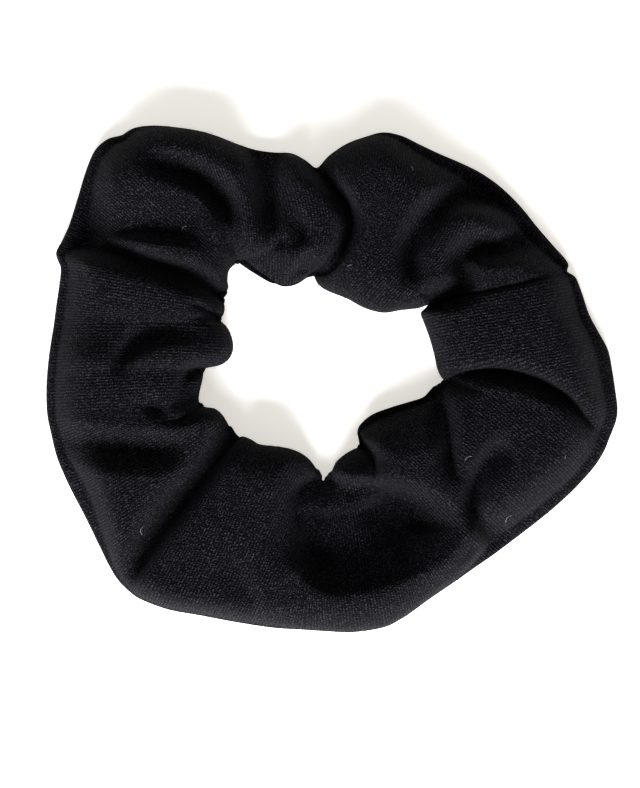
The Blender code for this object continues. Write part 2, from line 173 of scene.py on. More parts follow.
# Folds of the sleeve's upper side. Each has a line of (x, y, depth) in mm. left and right, going along the
# line: how wide that side is in mm and its form, which is "sharp" at the bottom, "round", or "even" all the
# way. lean: how far the cloth on the steeper side leans over the line, in mm. A depth under 0 makes a ridge.
FOLDS = [
    {"name": "closing seam hollow", "left": (4.0, "round"), "right": (3.0, "round"),
     "line": [(22.8, 17.4, 4.5), (26.5, 17.2, 3.6), (30.0, 18.0, 1.6), (36.0, 19.8, 0.4), (48.0, 22.8, 0.8),
              (52.5, 23.3, 2.0)]},
    {"name": "left tuck", "left": (4.0, "round"), "right": (4.6, "sharp"),
     "line": [(-59.6, 29.6, 2.0), (-56.0, 28.8, 5.8), (-52.0, 28.2, 7.4), (-48.0, 27.4, 7.8),
              (-44.0, 26.4, 7.8), (-40.0, 24.8, 7.4), (-34.0, 23.0, 6.6), (-28.0, 21.2, 6.0),
              (-23.4, 17.6, 4.2)]},
    {"name": "hollow above the tuck", "left": (10.5, "even"), "right": (3.0, "round"),
     "line": [(-58.0, 31.0, 1.0), (-54.0, 31.4, 4.6), (-49.0, 31.6, 5.4), (-44.0, 31.6, 5.2),
              (-39.0, 31.4, 4.6), (-34.0, 31.0, 4.4), (-30.0, 30.6, 3.6), (-26.5, 29.4, 0.6)]},
    {"name": "top left valley", "left": (4.8, "round"), "right": (4.0, "round"),
     "line": [(-41.0, 46.8, 0.0), (-37.0, 46.2, 3.8), (-33.0, 45.0, 5.0), (-27.6, 43.0, 6.8),
              (-24.0, 40.2, 7.8), (-22.0, 37.2, 6.8), (-20.6, 33.0, 2.6), (-18.8, 28.0, 2.0)]},
    {"name": "top valley, wide", "left": (7.0, "round"), "right": (4.6, "round"),
     "line": [(-15.6, 50.8, 7.4), (-14.0, 46.0, 9.6), (-13.2, 41.0, 9.6), (-12.8, 36.0, 7.4),
              (-12.2, 31.6, 3.4), (-13.0, 28.4, 1.2)]},
    {"name": "top valley, narrow", "left": (2.4, "round"), "right": (3.2, "round"),
     "line": [(-7.8, 43.0, 0.6), (-6.8, 36.0, 1.8), (-5.6, 32.0, 3.2), (-6.0, 28.0, 1.2)]},
    {"name": "top valley, deep", "left": (1.8, "sharp"), "right": (5.0, "round"), "lean": 0.6,
     "line": [(-2.5, 46.1, 7.0), (1.6, 42.4, 8.6), (5.0, 37.8, 9.6), (6.0, 34.0, 9.2), (5.0, 30.0, 7.0),
              (3.0, 25.8, 3.6), (0.4, 22.8, 2.4), (-3.2, 22.8, 2.4)]},
    {"name": "underlying lobe", "left": (5.0, "round"), "right": (5.0, "round"),
     "line": [(-17.0, 24.2, 4.0), (-13.0, 23.6, 5.0), (-9.0, 22.6, 4.4), (-5.0, 23.6, 3.0)]},
    {"name": "lip over the lobe", "left": (1.6, "sharp"), "right": (4.0, "sharp"), "lean": 1.2,
     "line": [(-18.6, 26.4, 3.0), (-14.5, 27.4, 4.6), (-11.0, 29.2, 3.4), (-9.0, 31.0, 0.0)]},
    {"name": "lobe ridge", "left": (1.8, "round"), "right": (2.2, "round"),
     "line": [(-10.8, 21.0, -0.8), (-8.6, 24.2, -2.4), (-5.8, 27.6, -2.0), (-4.5, 29.5, 0.0)]},
    {"name": "upper right hollow", "left": (4.6, "round"), "right": (4.8, "round"),
     "line": [(18.4, 20.0, 1.0), (17.6, 24.5, 5.4), (17.8, 28.4, 7.4), (19.8, 32.6, 7.8), (23.0, 36.2, 8.2),
              (28.0, 38.6, 8.0), (33.6, 39.4, 7.4), (38.0, 39.0, 5.0), (42.0, 38.0, 0.0)]},
    {"name": "dimple over the seam", "left": (4.6, "round"), "right": (4.6, "round"),
     "line": [(45.0, 29.6, 0.0), (41.0, 28.8, 5.4), (36.0, 27.6, 7.0), (31.4, 28.2, 8.0), (28.6, 25.6, 8.0),
              (28.8, 21.6, 7.0), (26.8, 18.6, 5.0), (23.6, 17.6, 1.6)]},
    {"name": "right crescent", "left": (2.4, "sharp"), "right": (5.6, "sharp"), "lean": 1.2,
     "line": [(25.6, -0.6, 5.5), (28.0, 1.2, 7.4), (31.0, 1.9, 8.6), (35.0, 2.2, 9.4), (39.0, 1.9, 9.8),
              (43.0, 0.9, 10.2), (47.0, -0.7, 10.2), (50.0, -2.4, 9.6), (53.0, -4.6, 8.6), (56.0, -8.2, 6.4),
              (58.0, -10.8, 1.6)]},
    {"name": "crease by the inner lobe", "left": (3.6, "sharp"), "right": (5.0, "sharp"), "lean": 0.4,
     "line": [(24.8, -2.6, 1.6), (25.4, -7.0, 5.4), (26.0, -11.0, 7.4), (26.4, -16.0, 7.4),
              (27.0, -19.4, 3.6), (28.2, -23.0, 0.0)]},
    {"name": "inner lobe's slope", "left": (3.0, "round"), "right": (10.0, "even"),
     "line": [(7.0, -12.4, 3.0), (9.5, -9.4, 5.0), (14.0, -7.4, 5.4), (18.0, -6.2, 5.4), (21.5, -5.0, 4.6),
              (24.0, -2.8, 3.0)]},
    {"name": "pocket at the inner notch", "left": (3.2, "sharp"), "right": (2.0, "sharp"), "lean": 0.3,
     "line": [(7.4, -14.8, 4.2), (9.0, -16.4, 6.0), (10.0, -18.4, 4.6), (9.4, -22.0, 1.6)]},
    {"name": "lower right valley", "left": (4.8, "round"), "right": (3.4, "round"), "lean": 0.4,
     "line": [(39.0, -13.4, 0.6), (35.4, -16.2, 6.4), (32.8, -19.8, 8.0), (31.2, -24.0, 8.4),
              (30.8, -28.0, 7.2), (32.4, -31.0, 5.6), (35.2, -34.2, 5.4), (36.6, -38.0, 2.4)]},
    {"name": "lower right lip", "left": (2.2, "round"), "right": (3.0, "round"),
     "line": [(30.0, -26.0, 0.0), (31.0, -31.0, -1.4), (32.6, -35.0, -2.2), (32.0, -39.0, -2.0),
              (30.0, -42.0, -0.8)]},
    {"name": "hollow's deep end", "left": (5.0, "round"), "right": (13.0, "round"),
     "line": [(4.0, -27.4, 0.0), (8.0, -25.6, 2.8), (12.0, -26.0, 3.8), (17.0, -27.0, 4.0),
              (22.0, -28.4, 3.4), (28.0, -31.0, 0.0)]},
    {"name": "basin crease", "left": (2.0, "sharp"), "right": (6.5, "round"),
     "line": [(-1.2, -22.6, 3.0), (-4.8, -22.6, 5.4), (-6.4, -26.0, 5.6), (-6.8, -31.0, 4.6),
              (-7.2, -36.0, 3.0), (-7.0, -41.0, 0.0)]},
    {"name": "lower left valley", "left": (3.8, "sharp"), "right": (7.5, "round"), "lean": 0.9,
     "line": [(-19.7, -13.2, 4.6), (-22.6, -17.0, 6.6), (-26.2, -21.6, 7.4), (-31.0, -27.6, 8.2),
              (-35.0, -32.6, 8.8), (-38.2, -37.4, 8.6), (-40.4, -41.4, 7.4), (-42.4, -45.4, 2.0)]},
    {"name": "rim dent", "left": (4.0, "round"), "right": (4.0, "round"),
     "line": [(-20.0, -38.0, 0.0), (-18.6, -43.0, 2.0), (-17.4, -47.5, 2.6), (-16.4, -52.0, 1.0)]},
    {"name": "left cross valley", "left": (5.0, "round"), "right": (6.4, "round"),
     "line": [(-59.0, -13.4, 0.6), (-54.6, -13.6, 4.4), (-49.0, -14.4, 5.2), (-43.0, -15.0, 5.4),
              (-37.0, -15.2, 5.0), (-33.0, -14.8, 4.0), (-29.4, -13.6, 2.0), (-26.4, -12.6, 0.4)]},
    {"name": "slope below the tuck", "left": (12.0, "even"), "right": (7.0, "round"),
     "line": [(-58.0, 9.6, 0.6), (-52.0, 9.2, 2.8), (-46.0, 9.6, 3.0), (-39.0, 11.4, 2.6),
              (-31.0, 12.6, 0.6)]},
    {"name": "left swirl", "left": (3.8, "round"), "right": (3.0, "round"),
     "line": [(-46.0, 1.4, 0.0), (-44.8, 3.4, 3.2), (-43.4, 5.4, 4.8), (-41.0, 7.6, 5.2), (-37.8, 9.0, 3.4),
              (-33.4, 9.8, 2.6), (-29.4, 9.4, 1.8), (-25.6, 8.4, 0.4)]},
    {"name": "inner swirl", "left": (2.4, "round"), "right": (2.4, "round"),
     "line": [(-27.2, 2.2, 4.6), (-29.6, 1.6, 3.4), (-31.2, -0.4, 2.2), (-31.4, -3.6, 1.2),
              (-30.4, -6.6, 0.4)]},
    {"name": "swirl dimple", "left": (2.6, "round"), "right": (2.4, "round"),
     "line": [(-39.4, -4.6, 0.6), (-37.6, -6.4, 1.8), (-35.4, -7.6, 1.2)]},
    {"name": "left notch crease", "left": (2.4, "sharp"), "right": (2.4, "sharp"), "lean": 0.4,
     "line": [(-28.0, -5.8, 4.6), (-29.6, -8.0, 4.8), (-32.2, -9.2, 3.8), (-34.6, -9.4, 1.6),
              (-37.0, -9.0, 0.0)]},
    {"name": "small lobe crease", "left": (1.8, "sharp"), "right": (1.8, "sharp"), "lean": 0.3,
     "line": [(-23.8, 12.8, 4.4), (-25.4, 14.0, 4.2), (-27.4, 15.4, 2.8), (-30.0, 16.2, 0.0)]},
]

# The hollow pressed into the bottom of the ring: its outline, anticlockwise, as (x, y, width) with how far
# from the outline it takes to reach the full depth, in mm.
HOLLOW = [
    (-7.6, -24.0, 3.0), (-7.4, -32.0, 3.0), (-7.4, -38.5, 4.0), (-4.8, -43.5, 7.0), (0.5, -46.2, 10.0),
    (6.0, -46.0, 10.0), (12.0, -44.6, 11.0), (17.0, -43.0, 12.0), (22.5, -40.4, 14.0),
    (27.0, -36.8, 14.0), (29.8, -31.6, 12.0), (25.0, -26.6, 9.0), (19.5, -22.8, 6.0), (13.0, -22.0, 5.0),
    (8.0, -22.0, 3.0), (4.0, -21.4, 3.0), (0.0, -20.6, 2.0), (-3.0, -21.0, 2.0),
]
HOLLOW_DEPTH = 8.6

# The loop that the elastic follows inside the sleeve, in mm, as in the CAD.
ELASTIC_LOOP = [
    (-11.0, -23.0), (-3.0, -25.3), (4.5, -24.3), (11.5, -19.8), (18.0, -14.5), (24.5, -9.8), (28.8, -4.4),
    (30.0, 2.5), (29.8, 10.0), (28.8, 17.2), (22.6, 22.4), (14.0, 23.2), (6.0, 24.6), (-1.0, 27.4),
    (-8.0, 28.6), (-15.0, 30.4), (-21.5, 30.6), (-26.6, 27.2), (-29.2, 21.0), (-29.6, 13.0), (-30.6, 5.0),
    (-32.6, -2.5), (-31.0, -10.0), (-26.0, -16.0), (-19.5, -20.3),
]

# The sleeve's grid: ribs across the tube, and points along each rib.
RIBS_ROUND = 600
FEWEST_RIBS = 8  # in one puff
SMOOTHING_ROUNDS = 5
SLIP_ROUNDS = 30  # of evening out how the cloth lies along the strip
OUTLINE_STEPS = 12  # of the smooth curve, from one outline point to the next
LINE_STEPS = 4  # the same for a fold's line
POINTS_OVER = 80  # from the innermost point over the puff to the pressed seam band
POINTS_STEP = 3  # down the step on to the band
POINTS_BAND = 7  # over the band to the outermost point
POINTS_UNDER = 38
TOP = POINTS_OVER + POINTS_STEP + POINTS_BAND
CLEAR_OF_INNER, CLEAR_OF_OUTER = 6, 4  # points left free where something is laid on one side of the tube only

# The tube's section, in mm.
INNER_ROUNDING = 11.0  # over which the puff rises from its innermost point
OUTER_ROUNDING = 9.5
UNDER_INNER_ROUNDING = 4.5
UNDER_OUTER_ROUNDING = 2.5
CROWN_AT_NOTCH, LIP_AT_NOTCH = 0.92, 0.7  # how high the puff is at a gather, as a share
TIP_HEIGHT = 1.3
TIP_ROUNDING = 0.9
FULL_BAND = 1.5  # a seam band at least this wide has its whole step
BAND_HEIGHT = 3.0
BAND_SLOPE = 0.35
STEP_HEIGHT = 0.8
STEP_WIDTH = 0.8
BANDED_SHARE = 0.75  # how much of the climb beyond a band is an even slope
CROWN_BLEND = 1.2  # the higher, the sharper the crown where both slopes meet
LOWEST_TOP = 2.4  # no fold presses the upper side lower than this
FOLD_SOFTNESS = 0.6  # how gently a fold comes down on what is under it, in mm
FINE_SHARES = np.linspace(0, 1, 241)

CREASE_DEPTH = 3.6  # of the creases underneath, at each gather
CREASE_WIDTH = 3.4
CREASE_ELASTIC_ROOM = 0.2  # a crease rises no more than this under the elastic

SEAM_GROOVE = ((-2, 0.15), (-1, 0.55), (0, 1.1), (1, 0.55), (2, 0.15))  # rib and depth
SEAM_GROOVE_FADE = 7.0  # mm from the outer edge
BAND_LINE = ((0, 0.3), (1, 0.15))  # point after the step, and depth of the pressed line there

ELASTIC_WIDTH = 6.0
ELASTIC_THICKNESS = 1.0
ELASTIC_LEAN = math.radians(60)  # from upright: the top edge leans outward
ELASTIC_MIDDLE = 3.9
ELASTIC_OVERLAP = 12.0
ELASTIC_RAMP = 12.0  # over which its end climbs on to its beginning
ELASTIC_STEP = 0.9  # from one section to the next
ELASTIC_CORNER = 0.3  # radius
PLY_PITCH = 1.3  # from one ply to the other where the elastic's ends overlap
ELASTIC_COVER = 1.2  # the sleeve's outer surface stays this far above the elastic

# Pale fibres caught on the cloth: (x, y), the way they lie in degrees, length and bend in mm.
LINT = [(-31.0, 32.3, 40, 1.3, 0.25), (-40.0, -33.0, 80, 1.8, 0.45), (30.0, -17.3, 30, 1.7, 0.35),
        (39.0, -30.5, 50, 2.0, 0.5), (18.0, 45.0, -60, 0.9, 0.15), (4.6, 24.0, 20, 0.8, 0.1),
        (51.0, -17.0, 80, 0.8, 0.1)]

FIBRE_FLOOR = 1.2  # mm over the floor, under which no loose fibre shows
FIBRE_LIFT = 0.02  # the fibres start this far off the cloth
LINT_RADIUS = 0.03
LINT_STEPS = 6

SEAM_INSET = 3.2  # the side seam's stitches from the outer edge
ALLOWANCE_PLY = 0.46  # thickness of one of the side seam's two plies
ALLOWANCE_MIDDLE = 1.6  # height of the side seam's two plies where they are sewn
ALLOWANCE_TOP = 3.1  # the cloth over the allowance stays this high
ALLOWANCE_REACH = 6.6
ALLOWANCE_FADE = 2.0
ALLOWANCE_SECTION = (  # inset from the outer edge, and half the thickness there
    (1.3, 0.2), (1.7, 0.42), (3.2, ALLOWANCE_PLY), (5.6, ALLOWANCE_PLY), (6.0, 0.3),
)
ALLOWANCE_ROUND = 10.0  # the cloth's length round that section
CLOSING_MARGIN = 4.0  # the side seam's threads stop this far from the closing seam
CLOSING_SETBACK = 1.5  # the closing seam's stitches lie this far from the seam line
CLOSING_DEPTHS = {"needle": 0.75, "bobbin": 1.25}  # under the cloth's outer face
THREAD_CLEARANCE = 0.14
THREAD_STEP = 0.5
ZIGZAG_WIDTH = 4.0
ZIGZAG_POINTS = 9
ZIGZAG_MARGIN = 1.5
STITCHES = {  # length of a stitch, and how far the thread rises and dips in it, in metres
    "side_seam": (0.0034, 0.00012),
    "closing_seam": (0.0026, 0.00008),
    "elastic_join": (0.002, 0.0),
}


def linear(code):
    """An sRGB hex colour as linear RGBA."""
    channels = [int(code[i : i + 2], 16) / 255 for i in (1, 3, 5)]
    return [c / 12.92 if c <= 0.04045 else ((c + 0.055) / 1.055) ** 2.4 for c in channels] + [1.0]


def spline(points, per_step, closed):
    """A smooth curve through the points, with that many steps between one and the next."""
    points = np.asarray(points, float)
    count = len(points)
    if closed:
        around = np.concatenate([points[-1:], points, points[:2]])
        spans = count
    else:
        first = 2 * points[0] - points[1]
        last = 2 * points[-1] - points[-2]
        around = np.concatenate([[first], points, [last]])
        spans = count - 1
    t = (np.arange(per_step) / per_step)[:, None]
    pieces = []
    for i in range(spans):
        a, b, c, d = around[i : i + 4]
        pieces.append(
            0.5 * (2 * b + (c - a) * t + (2 * a - 5 * b + 4 * c - d) * t**2 + (3 * b - a - 3 * c + d) * t**3)
        )
    pieces.append(points[:1] if closed else points[-1:])
    return np.concatenate(pieces)


def lengths(line, columns=2):
    """The distance of each point along a line."""
    steps = np.linalg.norm(np.diff(line[:, :columns], axis=0), axis=1)
    return np.concatenate([[0.0], np.cumsum(steps)])


def along(line, at, columns=2):
    """Points of a line at distances along it."""
    far = lengths(line, columns)
    return np.stack([np.interp(at, far, line[:, k]) for k in range(line.shape[1])], axis=1)


def smooth_step(t):
    """0 up to 0 and 1 from 1 on, with a level start and end."""
    t = np.clip(t, 0.0, 1.0)
    return t * t * (3 - 2 * t)


def quarter_round(t):
    """0 at 0 with an upright start, 1 from 1 on."""
    return np.sqrt(1 - (1 - np.clip(t, 0.0, 1.0)) ** 2)


class Ribs:
    """The lines across the tube: inner and outer ends, and what holds along each."""

    def __init__(self):
        outer = spline([p for puff in PUFFS for p in puff["outer"]], OUTLINE_STEPS, closed=True)
        starts = np.cumsum([0] + [len(puff["outer"]) for puff in PUFFS]) * OUTLINE_STEPS
        far = lengths(outer)
        rows = []
        for k, puff in enumerate(PUFFS):
            before, after = PUFFS[k - 1], PUFFS[(k + 1) % len(PUFFS)]
            length = far[starts[k + 1]] - far[starts[k]]
            count = max(FEWEST_RIBS, round(RIBS_ROUND * length / far[-1]))
            share = np.arange(count) / count
            line = spline(puff["inner"] + [after["inner"][0]], OUTLINE_STEPS, closed=False)
            bend, _, fade_on = puff.get("bow", (0.0, 1.5, 1.5))
            next_bend, fade_back, _ = after.get("bow", (0.0, 1.5, 1.5))
            bow = bend * (1 - share) ** fade_on + next_bend * share**fade_back
            swell = np.sin(math.pi * share)
            levels = []
            for key, at_notch in (("crown", CROWN_AT_NOTCH), ("lip", LIP_AT_NOTCH), ("rounding", 1.0)):
                here, back, on = (part.get(key, OUTER_ROUNDING) for part in (puff, before, after))
                edge = np.where(share < 0.5, back + here, on + here) / 2 * at_notch
                levels.append(edge + (here - edge) * swell)
            place = far[starts[k]] + share * length
            inner = along(line, share * lengths(line)[-1])
            rows.append(np.column_stack([inner, along(outer, place), bow, *levels, place, np.full(count, k)]))
        table = np.concatenate(rows)
        self.inner = table[:, 0:2] - CENTRE
        self.outer = table[:, 2:4] - CENTRE
        self.band, self.bow, self.crown, self.lip, self.rounding, self.place = table[:, 4:10].T
        self.puff = table[:, 10].astype(int)
        self.total = far[-1]
        self.count = len(table)


def upper_profile(ribs, i, from_inner, from_outer):
    """Heights of the upper side over a rib."""
    band, crown, lip = ribs.band[i], ribs.crown[i], ribs.lip[i]
    banded = min(1.0, band / FULL_BAND)
    rise = lip + (crown - lip) * quarter_round(from_inner / INNER_ROUNDING)
    edge = TIP_HEIGHT + (BAND_HEIGHT - TIP_HEIGHT) * quarter_round(from_outer / TIP_ROUNDING)
    edge += BAND_SLOPE * np.minimum(from_outer, band)
    step = STEP_HEIGHT * banded * quarter_round((from_outer - band) / STEP_WIDTH)
    beyond = np.clip((from_outer - band) / ribs.rounding[i], 0, 1)
    sloped = banded * BANDED_SHARE
    climb = sloped * (1 - (1 - beyond) ** 1.9) + (1 - sloped) * quarter_round(beyond)
    fall = edge + step + (crown - BAND_HEIGHT - STEP_HEIGHT * banded - BAND_SLOPE * band) * climb
    return -np.log(np.exp(-rise * CROWN_BLEND) + np.exp(-fall * CROWN_BLEND)) / CROWN_BLEND


def lower_profile(ribs, i, from_inner, from_outer):
    """Heights of the underside over a rib: flat, and rounded up at both edges."""
    inner = ribs.lip[i] * (1 - quarter_round(from_inner / UNDER_INNER_ROUNDING))
    outer = TIP_HEIGHT * (1 - quarter_round(from_outer / UNDER_OUTER_ROUNDING))
    return inner + outer


def evenly(points, count):
    """The polyline again, as count + 1 points at even distances."""
    return along(points, np.linspace(0, lengths(points, 3)[-1], count + 1), 3)


def base_grid(ribs):
    """The plain tube: one row of points for each rib, over the top and back underneath."""
    rows = []
    for i in range(ribs.count):
        span = ribs.outer[i] - ribs.inner[i]
        width = np.linalg.norm(span)
        from_inner = FINE_SHARES * width
        from_outer = width - from_inner
        low = lower_profile(ribs, i, from_inner, from_outer)
        high = np.maximum(upper_profile(ribs, i, from_inner, from_outer), low)
        high[0], high[-1] = low[0], low[-1]
        left = np.array([-span[1], span[0]]) / width
        bend = 4 * FINE_SHARES * (1 - FINE_SHARES) * ribs.bow[i]
        across = ribs.inner[i] + span * FINE_SHARES[:, None] + left * bend[:, None]
        over = np.column_stack([across, high])
        step = np.searchsorted(-from_outer, -(ribs.band[i] + 1.0))
        foot = np.searchsorted(-from_outer, -ribs.band[i])
        rows.append(
            np.concatenate(
                [
                    evenly(over[: step + 1], POINTS_OVER)[:-1],
                    evenly(over[step : foot + 1], POINTS_STEP)[:-1],
                    evenly(over[foot:], POINTS_BAND)[:-1],
                    evenly(np.column_stack([across, low])[::-1], POINTS_UNDER)[:-1],
                ]
            )
        )
    return np.array(rows)


def nearest_on(line, points):
    """For each point: its distance from a line of (x, y, depth), which side it is on (1 is left), the
    depth there, and the direction across the line towards its left."""
    best = np.full(len(points), 1e9)
    side = np.zeros(len(points))
    depth = np.zeros(len(points))
    across = np.zeros((len(points), 2))
    for a, b in zip(line, line[1:]):
        span = b[:2] - a[:2]
        t = np.clip(((points - a[:2]) @ span) / (span @ span), 0, 1)
        offset = points - a[:2] - t[:, None] * span
        distance = np.linalg.norm(offset, axis=1)
        closer = distance < best
        best[closer] = distance[closer]
        side[closer] = np.sign(span[0] * offset[closer, 1] - span[1] * offset[closer, 0])
        depth[closer] = a[2] + (b[2] - a[2]) * t[closer]
        across[closer] = np.array([-span[1], span[0]]) / np.linalg.norm(span)
    return best, side, depth, across


def elastic_line():
    """The elastic's closed middle line in the frame, as (x, y, 0)."""
    line = spline(np.array(ELASTIC_LOOP) - CENTRE, 8, closed=True)
    return np.column_stack([line, np.zeros(len(line))])


def outward_of_elastic(plan):
    """How far each point lies outward from the elastic's middle line."""
    distance, side, _, _ = nearest_on(elastic_line(), plan)
    return -side * distance


def over_the_elastic(outward):
    """The lowest that the upper side may be, by the distance outward from the elastic's middle line."""
    reach = ELASTIC_WIDTH / 2 * math.sin(ELASTIC_LEAN) + ELASTIC_THICKNESS / 2
    top = ELASTIC_MIDDLE + ELASTIC_WIDTH / 2 * math.cos(ELASTIC_LEAN) + ELASTIC_THICKNESS / 2 + ELASTIC_COVER
    inside = top - (reach - outward) / math.tan(ELASTIC_LEAN)
    outside = top - 2 * (outward - reach - 0.5)
    soft = 2.0
    tent = -np.log(np.exp(-soft * inside) + np.exp(-soft * outside) + np.exp(-soft * top)) / soft
    return LOWEST_TOP + np.log1p(np.exp(soft * (tent - LOWEST_TOP))) / soft


def smooth_line(points, closed):
    """A smooth curve in the frame through points of (x, y, value)."""
    return spline([(x - CENTRE[0], y - CENTRE[1], value) for x, y, value in points], LINE_STEPS, closed)


# How deep a fold is, by the nearness to its line: 0 at its side and 1 on the line.
FORMS = {"sharp": np.square, "round": smooth_step, "even": np.positive}


def press_folds(grid, ribs):
    """Presses the folds into the upper side, but not on to the elastic or the seam allowance."""
    over = grid[:, 1:TOP].reshape(-1, 3)
    from_edge = np.linalg.norm(grid[:, 1:TOP, :2] - ribs.outer[:, None], axis=2).reshape(-1)
    plan = over[:, :2].copy()
    from_tip = np.cumsum(np.linalg.norm(np.diff(grid[:, :TOP], axis=1), axis=2), axis=1).reshape(-1)
    drop = np.zeros(len(over))
    shift = np.zeros((len(over), 2))
    for fold in FOLDS:
        distance, side, depth, across = nearest_on(smooth_line(fold["line"], closed=False), plan)
        (left, left_form), (right, right_form) = fold["left"], fold["right"]
        near = np.clip(1 - distance / np.where(side > 0, left, right), 0, 1)
        drop += depth * np.where(side > 0, FORMS[left_form](near), FORMS[right_form](near))
        if "lean" in fold:
            steep = 1 if left < right else -1
            reach = np.where(side == steep, near * (1 - near) * 4, 0) * fold["lean"]
            shift -= across * (steep * reach * np.clip(depth / 3, 0, 1))[:, None]
    distance, side, width, _ = nearest_on(smooth_line(HOLLOW, closed=True), plan)
    fall = (quarter_round(distance / width) + smooth_step(distance / width)) / 2
    drop += np.where(side > 0, HOLLOW_DEPTH * fall, 0)
    drop *= smooth_step(from_tip / 3.0)
    above = smooth_step((ALLOWANCE_REACH + ALLOWANCE_FADE - from_edge) / ALLOWANCE_FADE)
    over_allowance = LOWEST_TOP + (ALLOWANCE_TOP - LOWEST_TOP) * above
    floor = np.maximum(over_the_elastic(outward_of_elastic(plan)), over_allowance)
    room = over[:, 2] - floor
    left_over = np.clip((room - drop) / FOLD_SOFTNESS, -30, 30)
    pressed = floor + FOLD_SOFTNESS * np.log1p(np.exp(left_over))
    pressed = np.minimum(pressed, over[:, 2] + np.maximum(-drop, 0))
    over[:, 2] = np.where(drop > 0, pressed, over[:, 2] - drop * np.clip(room / 3, 0, 1))
    over[:, :2] += shift * np.clip(room / 4, 0, 1)[:, None]
    grid[:, 1:TOP] = over.reshape(grid.shape[0], TOP - 1, 3)


def gather_underside(grid, ribs):
    """Creases that run out from each gather on the side that the scrunchie lies on."""
    under = grid[:, TOP + 1 :]
    plan = under[:, :, :2].reshape(-1, 2)
    lift = np.zeros(len(plan))
    for k in range(len(PUFFS)):
        i = int(np.argmax(ribs.puff == k))
        a, b = ribs.inner[i], ribs.outer[i]
        line = np.array([(*a, CREASE_DEPTH), (*(a + (b - a) * 0.3), 2.6), (*(a + (b - a) * 0.75), 0.0)])
        distance, _, depth, _ = nearest_on(line, plan)
        lift += depth * np.clip(1 - distance / CREASE_WIDTH, 0, 1) ** 2
    room = CREASE_ELASTIC_ROOM + np.maximum(np.abs(outward_of_elastic(plan)) - CREASE_WIDTH, 0)
    under[:, :, 2] += np.minimum(lift, np.minimum(room, CREASE_DEPTH)).reshape(under.shape[:2])


def wrinkle(grid, ribs):
    """The cloth's own unevenness: long shallow swells, and ripples that run across the tube."""
    for i in range(ribs.count):
        for j in range(1, TOP):
            x, y, z = grid[i, j]
            swell = noise.noise(Vector((x / 9, y / 9, 3.0))) * 0.4
            ripple = noise.noise(Vector((ribs.place[i] / 3.2, j / 26, 9.0))) * 0.12
            grid[i, j, 2] += (swell + ripple) * min(1.0, max(0.0, (z - 3.0) / 4))


def relax(grid, ribs, times):
    """Evens each point towards its neighbours, and then gives each rib its full width back."""
    for _ in range(times):
        mean = (np.roll(grid, 1, 0) + np.roll(grid, -1, 0) + np.roll(grid, 1, 1) + np.roll(grid, -1, 1)) / 4
        grid += (mean - grid) / 2
    span = ribs.outer - ribs.inner
    width = np.linalg.norm(span, axis=1)
    way = (span / width[:, None])[:, None]
    far = ((grid[:, :, :2] - ribs.inner[:, None]) * way).sum(axis=2)
    low, high = far.min(axis=1)[:, None], far.max(axis=1)[:, None]
    grid[:, :, :2] += way * ((far - low) / (high - low) * width[:, None] - far)[:, :, None]


def strip_coordinates(grid, ribs):
    """How far along the flat strip each point of the plain tube lies, in mm. Cloth that a gather takes up is
    hidden in its notch."""
    steps = np.linalg.norm(np.roll(grid, -1, 0) - grid, axis=2)
    strip = np.zeros(grid.shape[:2])
    for k in range(len(PUFFS)):
        rows = np.flatnonzero(ribs.puff == k)
        run = np.concatenate([np.zeros((1, grid.shape[1])), np.cumsum(steps[rows], axis=0)])
        length = run[-1]
        first = ribs.place[rows[0]]
        full = (ribs.place[rows[-1] + 1] if rows[-1] + 1 < ribs.count else ribs.total) - first
        inside = run[:-1] - length / 2
        side = inside / np.maximum(length / 2, 1e-6)
        strip[rows] = first + full / 2 + inside + (full - length) / 2 * np.sign(side) * np.abs(side) ** 4
    slip = strip - ribs.place[:, None]
    for _ in range(SLIP_ROUNDS):
        slip = (np.roll(slip, 1, 1) + 2 * slip + np.roll(slip, -1, 1)) / 4
    strip = ribs.place[:, None] + slip
    # At the right the wales lie straight: beside the closing seam as far as the fold that covers their ends,
    # and beside the middle rib of the puff before it on the fold's other side.
    before, last = (np.flatnonzero(ribs.puff == len(PUFFS) - k) for k in (2, 1))
    middle = before[len(before) // 2]
    right = np.arange(middle, ribs.count)
    plan = grid[right][:, :, :2]
    fold = next(fold for fold in FOLDS if fold["name"] == "right crescent")
    _, side, _, _ = nearest_on(smooth_line(fold["line"], closed=False), plan.reshape(-1, 2))
    over_fold = (side.reshape(plan.shape[:2]) > 0) & (right >= last[0])[:, None]
    straight = []
    for rib, start in ((middle, ribs.place[middle]), (0, ribs.total)):
        span = ribs.outer[rib] - ribs.inner[rib]
        left = np.array([-span[1], span[0]]) / np.linalg.norm(span)
        straight.append(start + (plan - ribs.inner[rib]) @ left)
    strip[right] = np.where(over_fold, straight[1], straight[0])
    return strip


def outward_normals(grid):
    """The directions out of a closed ring of rows, at each of its points."""
    round_way = np.roll(grid, -1, 0) - np.roll(grid, 1, 0)
    across = np.roll(grid, -1, 1) - np.roll(grid, 1, 1)
    normals = np.cross(across, round_way)
    return normals / np.maximum(np.linalg.norm(normals, axis=2, keepdims=True), 1e-9)


def ring_of_quads(rows, columns, first, inward):
    """The faces of a closed ring of rows of points, the first point of which has that number."""
    i, j = np.meshgrid(np.arange(rows), np.arange(columns), indexing="ij")
    after, beside = (i + 1) % rows, (j + 1) % columns
    corners = [i * columns + j, i * columns + beside, after * columns + beside, after * columns + j]
    if inward:
        corners.reverse()
    return (np.stack(corners, axis=-1) + first).reshape(-1, 4)


def new_mesh(name, spots, faces, edges=()):
    """A mesh from points in mm."""
    mesh = bpy.data.meshes.new(name)
    mesh.from_pydata((spots.reshape(-1, 3) * MM).tolist(), edges, faces)
    return mesh


